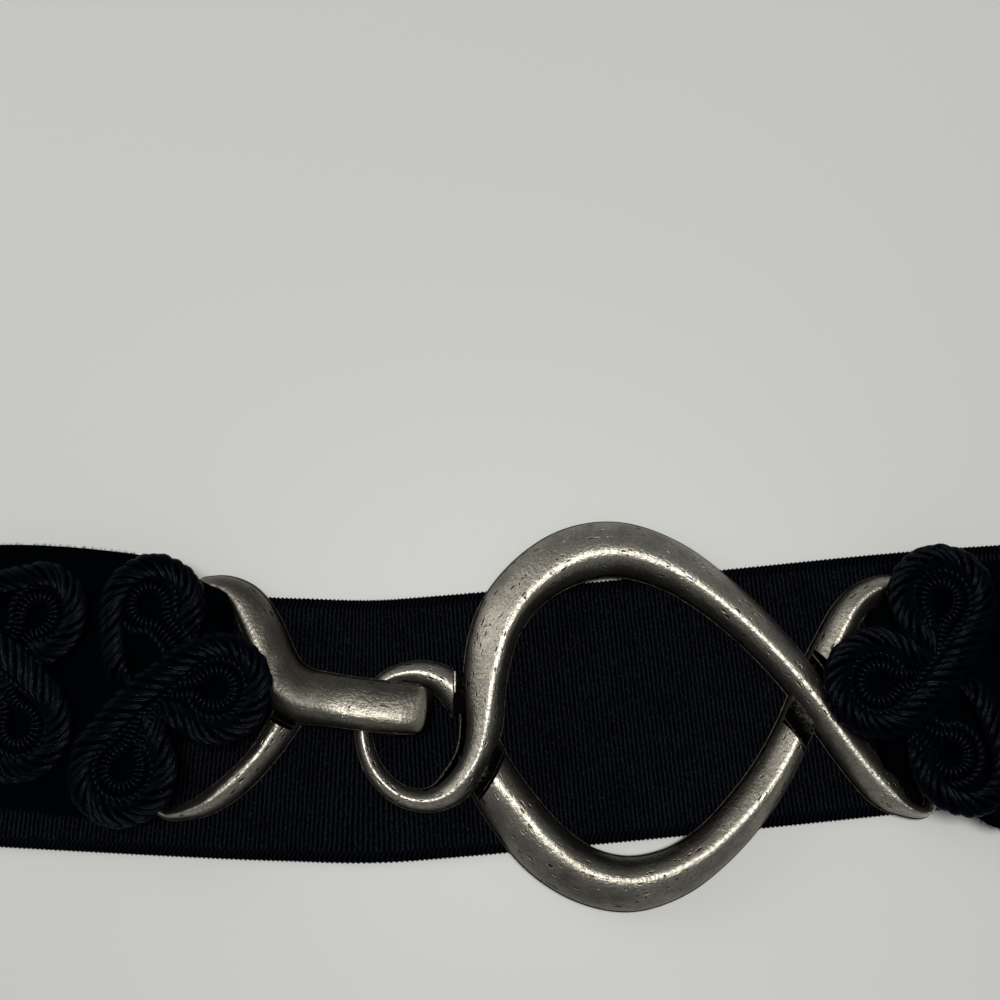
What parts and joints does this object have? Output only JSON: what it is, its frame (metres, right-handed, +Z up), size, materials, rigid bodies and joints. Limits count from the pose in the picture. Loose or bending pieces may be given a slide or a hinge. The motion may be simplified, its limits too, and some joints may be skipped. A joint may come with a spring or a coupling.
{
  "type": "stretch belt",
  "caption": "Elastic stretch belt lying flat as a closed loop, with velvet fronts, corded trefoil braid and a fastened cast hook buckle.",
  "frame": {"origin": "on the flat underside of the back run of elastic, straight below the middle of the buckle's big loop", "axes": "+Z up from the table, +X along the belt from the hook side to the ring side, +Y to the belt's upper edge"},
  "size_m": [0.388, 0.0736, 0.0123],
  "materials": {
    "elastic": "ribbed navy-black elastic webbing with knobbly woven edges",
    "antique_silver": "burnished antique silver casting, pitted, dark in the recesses",
    "velvet": "near-black velvet",
    "cord": "twisted navy rayon cord with a low sheen"
  },
  "bodies": {
    "root": {"stretch_band": "elastic", "hook_buckle": "antique_silver", "ring_buckle": "antique_silver", "left_front_strap": "velvet", "left_trim_1": "cord", "left_trim_2": "cord", "left_trim_3": "cord", "right_front_strap": "velvet", "right_trim_1": "cord", "right_trim_2": "cord", "right_trim_3": "cord"}
  },
  "joints": []
}
